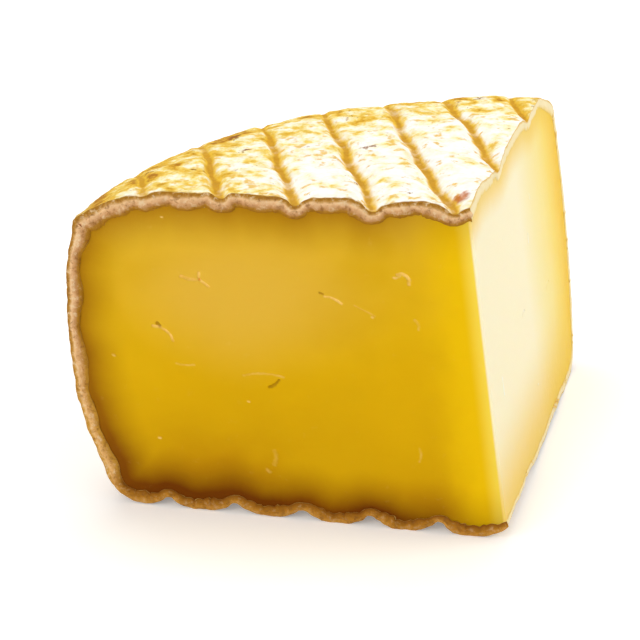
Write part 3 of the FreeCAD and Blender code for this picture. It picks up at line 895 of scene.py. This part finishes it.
def cut_rind():
    """The cut edge of the rind: a thin dark outer line, and crumbly pinkish tan crust inside it, with painted
    light and shade across it.
    """
    made, tree = material("cut_rind")
    place = add(tree, "ShaderNodeTexCoord").outputs["Object"]
    depth = add(tree, "ShaderNodeAttribute", attribute_name="depth").outputs["Fac"]
    second = add(tree, "ShaderNodeAttribute", attribute_name="second").outputs["Fac"]
    on_foot = add(tree, "ShaderNodeAttribute", attribute_name="on_foot").outputs["Fac"]
    patch = add(tree, "ShaderNodeTexNoise", {"Vector": place, "Scale": 1 / (5 * MM), "Detail": 4.0})
    crumb = add(tree, "ShaderNodeTexNoise", {"Vector": place, "Scale": 1 / (1.7 * MM), "Detail": 4.0,
                                             "Roughness": 0.7})
    # Across the band from the skin in: the crust's own colour with painted shading of its rounded pillows.
    # The thin dark outer line is partly the crust's outer layer and partly painted shadow; the band is
    # painted palest a third of the way in and darker towards the paste.
    into = add(tree, "ShaderNodeMath", {0: patch, 1: 0.36, 2: -0.18}, operation="MULTIPLY_ADD")
    into = add(tree, "ShaderNodeMath", {0: into, 1: depth}, operation="ADD")
    first = add(tree, "ShaderNodeValToRGB", {0: into}, stops=FIRST_EDGE_CRUST_AND_SHADE)
    foot = add(tree, "ShaderNodeValToRGB", {0: into}, stops=FOOT_EDGE_CRUST_AND_HIGHLIGHT)
    painted_light_second_cut = add(tree, "ShaderNodeValToRGB", {0: into}, stops=SECOND_EDGE_PAINTED_LIGHT)
    # Painted reflected light: low on the side the band is painted golden, as if it caught light thrown up
    # from below.
    height = add(tree, "ShaderNodeSeparateXYZ", {0: place}).outputs[2]
    golden = add(tree, "ShaderNodeMapRange", {0: height, 1: 52 * MM, 2: 22 * MM, 4: 0.45})
    colour = add(tree, "ShaderNodeMix", {0: golden, 6: first, 7: tint("#E4AC44")},
                 data_type="RGBA").outputs[2]
    colour = add(tree, "ShaderNodeMix", {0: on_foot, 6: colour, 7: foot}, data_type="RGBA").outputs[2]
    middle = add(tree, "ShaderNodeMapRange", {0: depth, 1: 0.95, 2: 0.65})
    pale = add(tree, "ShaderNodeMapRange", {0: crumb, 1: 0.53, 2: 0.66, 4: 0.75})
    pale = add(tree, "ShaderNodeMath", {0: pale, 1: middle}, operation="MULTIPLY")
    higher = add(tree, "ShaderNodeMapRange", {0: on_foot, 3: 1.0, 4: 0.35})
    pale = add(tree, "ShaderNodeMath", {0: pale, 1: higher}, operation="MULTIPLY")
    colour = add(tree, "ShaderNodeMix", {0: pale, 6: colour, 7: tint("#EFD2A6")},
                 data_type="RGBA").outputs[2]
    brown = add(tree, "ShaderNodeMapRange", {0: crumb, 1: 0.47, 2: 0.34, 4: 0.75})
    colour = add(tree, "ShaderNodeMix", {0: brown, 6: colour, 7: tint("#8E5C22")},
                 data_type="RGBA").outputs[2]
    # Painted light: in the second cut the band is painted pale cream, a lit copy of the band in the first
    # cut.
    colour = add(tree, "ShaderNodeMix", {0: second, 6: colour, 7: painted_light_second_cut}, data_type="RGBA").outputs[2]
    bump = add(tree, "ShaderNodeBump", {"Height": crumb, "Strength": 0.8, "Distance": 0.5 * MM})
    shader = add(tree, "ShaderNodeBsdfPrincipled", {
        "Base Color": colour, "Roughness": 0.9, "Normal": bump, "IOR": 1.4, "Specular IOR Level": 0.3,
    })
    add(tree, "ShaderNodeOutputMaterial", {"Surface": shader})
    return made


FIRST_EDGE_CRUST_AND_SHADE = (
    (0.10, "#A87420"), (0.20, "#C4924A"), (0.32, "#F0C490"), (0.50, "#DCAA78"), (0.68, "#C4905A"),
    (0.84, "#AC7820"), (1.0, "#9E6A08"),
)
# Over the foot the band's paler outer edge is painted highlight over the crust's own brown.
FOOT_EDGE_CRUST_AND_HIGHLIGHT = ((0.02, "#D09A40"), (0.22, "#CC9038"), (0.50, "#B87C20"), (0.85, "#98600C"), (1.0, "#824A00"))
SECOND_EDGE_PAINTED_LIGHT = ((0.02, "#E4BC68"), (0.20, "#F9E8BA"), (0.60, "#FAE8BA"), (0.88, "#F6DC96"), (1.0, "#F0CC6C"))


def inner_rind():
    """The rind's inner wall, against the paste: damp brown crust, mottled as the paste stains it.

    Beside the second cut it is painted as pale as the second face's painted light, so that no dark crevice
    shows.
    """
    made, tree = material("inner_rind")
    place = add(tree, "ShaderNodeTexCoord").outputs["Object"]
    stain = add(tree, "ShaderNodeTexNoise", {"Vector": place, "Scale": 1 / (6 * MM), "Detail": 4.0})
    colour = add(tree, "ShaderNodeValToRGB", {0: stain},
                 stops=((0.35, "#A0742A"), (0.50, "#B88E3C"), (0.65, "#CCA654")))
    # Painted light: beside the second cut the wall is painted as pale as the painted-lit second face, so that
    # no dark crevice shows.
    across = add(tree, "ShaderNodeVectorMath", {0: place, 1: SECOND_CUT}, operation="DOT_PRODUCT")
    painted_light_second_cut = add(tree, "ShaderNodeMapRange", {0: across.outputs["Value"], 1: TIP.dot(SECOND_CUT) - 4 * MM,
                                             2: TIP.dot(SECOND_CUT) - 2 * MM})
    colour = add(tree, "ShaderNodeMix", {0: painted_light_second_cut, 6: colour, 7: tint("#F6DC92")},
                 data_type="RGBA").outputs[2]
    bump = add(tree, "ShaderNodeBump", {"Height": stain, "Strength": 0.4, "Distance": 0.4 * MM})
    shader = add(tree, "ShaderNodeBsdfPrincipled", {"Base Color": colour, "Roughness": 0.8, "Normal": bump})
    add(tree, "ShaderNodeOutputMaterial", {"Surface": shader})
    return made


skin = make_skin()
paste = make_paste(skin, pressed_paste())
rind = make_rind(skin, natural_rind(), inner_rind(), cut_rind())
bpy.data.objects.remove(skin)
for piece in (paste, rind):
    take_up(piece)
    bpy.ops.object.shade_smooth_by_angle(angle=math.radians(50))
    # Large flat faces lead the shading, so the small ones beside them do not bend it.
    add_modifier(piece, "WEIGHTED_NORMAL", keep_sharp=True)
    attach(piece, "root")
    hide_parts(NODE)

# ---------------------------------------------------------------- floor, light and camera

put_away()
bpy.ops.mesh.primitive_plane_add(size=6)
floor = bpy.context.object
floor.name = "floor"
made, tree = material("white_floor")
matt = add(tree, "ShaderNodeBsdfDiffuse", {"Color": tint("#F6F5F2")})
# The floor runs on into the white backdrop: far from the lamps it shines a little more.
from_piece = add(tree, "ShaderNodeTexCoord").outputs["Object"]
from_piece = add(tree, "ShaderNodeVectorMath", {0: from_piece}, operation="LENGTH").outputs["Value"]
shine = add(tree, "ShaderNodeMapRange", {0: from_piece, 1: 0.25, 2: 1.6, 3: 0.24, 4: 0.58})
glow = add(tree, "ShaderNodeEmission", {"Color": tint("#FFFFFF"), "Strength": shine})
seen_floor = add(tree, "ShaderNodeLightPath").outputs["Is Camera Ray"]
none = add(tree, "ShaderNodeEmission", {"Strength": 0.0})
glow = add(tree, "ShaderNodeMixShader", {0: seen_floor, 1: none, 2: glow})
both = add(tree, "ShaderNodeAddShader", {0: matt, 1: glow})
add(tree, "ShaderNodeOutputMaterial", {"Surface": both})
floor.data.materials.append(made)

world = bpy.data.worlds.new("studio")
bpy.context.scene.world = world
world.use_nodes = True
air = world.node_tree
air.nodes.clear()
light = add(air, "ShaderNodeBackground", {"Color": tint("#FFFFFF"), "Strength": 0.5})
white = add(air, "ShaderNodeBackground", {"Color": tint("#FFFFFF"), "Strength": 1.0})
path = add(air, "ShaderNodeLightPath")
seen = add(air, "ShaderNodeMath", {0: path.outputs["Is Camera Ray"], 1: path.outputs["Is Glossy Ray"]},
           operation="MAXIMUM")
seen = add(air, "ShaderNodeMath", {0: seen, 1: path.outputs["Is Transmission Ray"]},
           operation="MAXIMUM")
both = add(air, "ShaderNodeMixShader", {0: seen, 1: light, 2: white})
add(air, "ShaderNodeOutputWorld", {"Surface": both})


def lamp(name, place, target, size, power):
    data = bpy.data.lights.new(name, "AREA")
    data.shape = "SQUARE"
    data.size = size
    data.energy = power
    made = bpy.data.objects.new(name, data)
    made.location = place
    made.rotation_euler = (Vector(target) - Vector(place)).to_track_quat("-Z", "Y").to_euler()
    bpy.context.scene.collection.objects.link(made)


MIDDLE = Vector((0, 0, 45 * MM))
lamp("window", (0.80, 0.20, 0.62), MIDDLE, 0.6, 3.5)
lamp("skylight", (-0.25, 0.35, 1.1), MIDDLE, 0.8, 5.4)
lamp("card", (-0.6, -1.0, 0.6), MIDDLE, 0.9, 6.2)

camera = bpy.data.objects.new("camera", bpy.data.cameras.new("camera"))
bpy.context.scene.collection.objects.link(camera)
bpy.context.scene.camera = camera
camera.location = TIP + Vector((50.15, -487.6, 265.2)) * MM
AIM = Vector((-4.5, -15.0, 37.5)) * MM
look = (AIM - camera.location).to_track_quat("-Z", "Y").to_matrix()
camera.rotation_euler = look.to_euler()
camera.data.lens_unit = "FOV"
camera.data.angle = math.radians(17.4)
camera.data.clip_start = 0.05

scene = bpy.context.scene
scene.view_settings.view_transform = "Standard"
